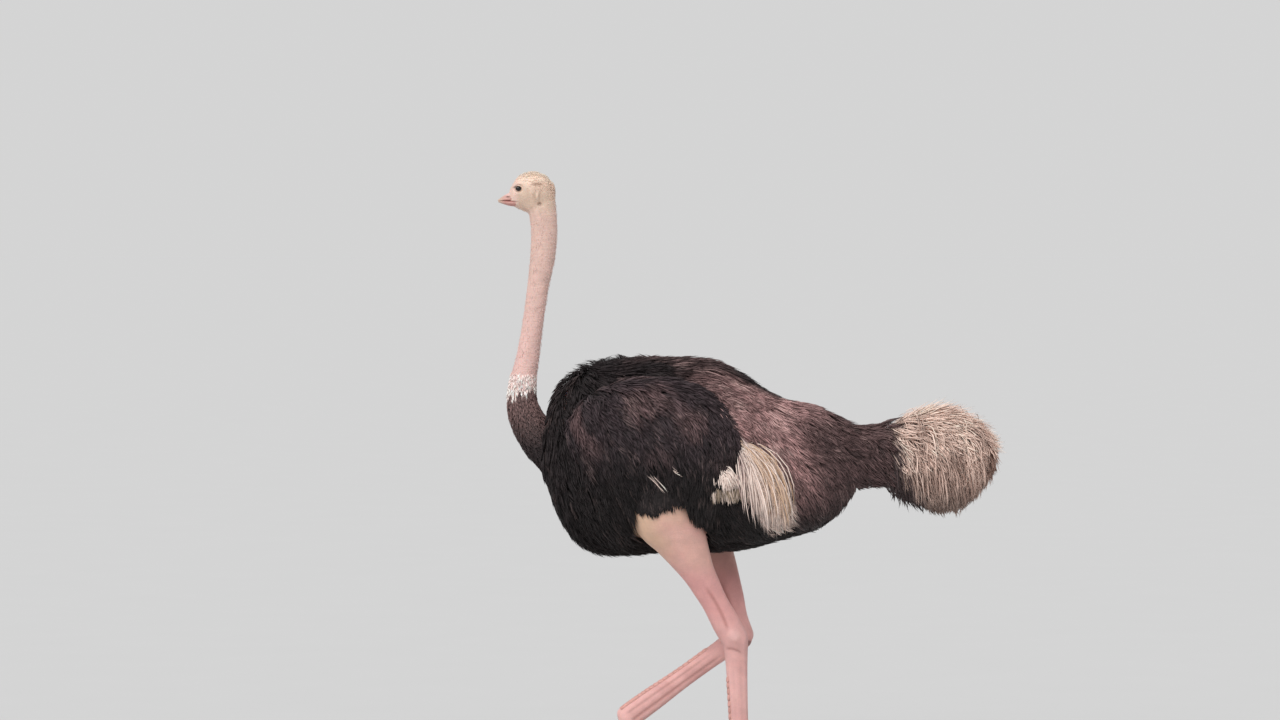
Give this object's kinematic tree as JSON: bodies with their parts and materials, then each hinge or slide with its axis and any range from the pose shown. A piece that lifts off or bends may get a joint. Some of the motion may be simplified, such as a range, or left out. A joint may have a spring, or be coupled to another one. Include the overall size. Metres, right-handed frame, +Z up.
{
  "type": "ostrich",
  "caption": "Life-size still model of a walking male ostrich: bare pink neck and legs, loose black plumage, pale wing and tail plumes, one foot lifted, on a flat base plate.",
  "frame": {"origin": "middle of the underside of the base plate", "axes": "+Z up; the bird faces -X and its left side is -Y"},
  "size_m": [1.7447, 0.561, 2.2364],
  "materials": {
    "skin": "bare pink to beige skin with sparse pale down on the head and neck, satin",
    "neck_feathers": "short dark brown feathers below a jagged white ring",
    "body_plumage": "loose black plumes, browner over the rump",
    "wing_plumage": "loose black-brown plumes",
    "wing_quill_plumes": "cream white plumes, matt",
    "tail_base_plumage": "dusty brown plumes",
    "tail_plumes": "dirty buff drooping plumes",
    "bill_horn": "pink horn, satin",
    "eyeball": "dark brown, wet gloss",
    "claw_horn": "brown-grey horn, satin",
    "stand_board": "plain grey painted board, satin"
  },
  "bodies": {
    "root": {"bill_lower": "bill_horn", "bill_upper": "bill_horn", "claw_main_left": "claw_horn", "claw_main_right": "claw_horn", "claw_outer_left": "claw_horn", "claw_outer_right": "claw_horn", "drumstick_left": "skin", "drumstick_right": "skin", "eye_left": "eyeball", "eye_right": "eyeball", "head": "skin", "neck_lower": "neck_feathers", "neck_upper": "skin", "shank_left": "skin", "shank_right": "skin", "stand_base": "stand_board", "tail": "tail_base_plumage", "tail_plumes": "tail_plumes", "thigh_left": "skin", "thigh_right": "skin", "toe_main_left": "skin", "toe_main_right": "skin", "toe_outer_left": "skin", "toe_outer_right": "skin", "trunk": "body_plumage", "wing_left": "wing_plumage", "wing_plumes_left": "wing_quill_plumes", "wing_plumes_right": "wing_quill_plumes", "wing_right": "wing_plumage"}
  },
  "joints": []
}
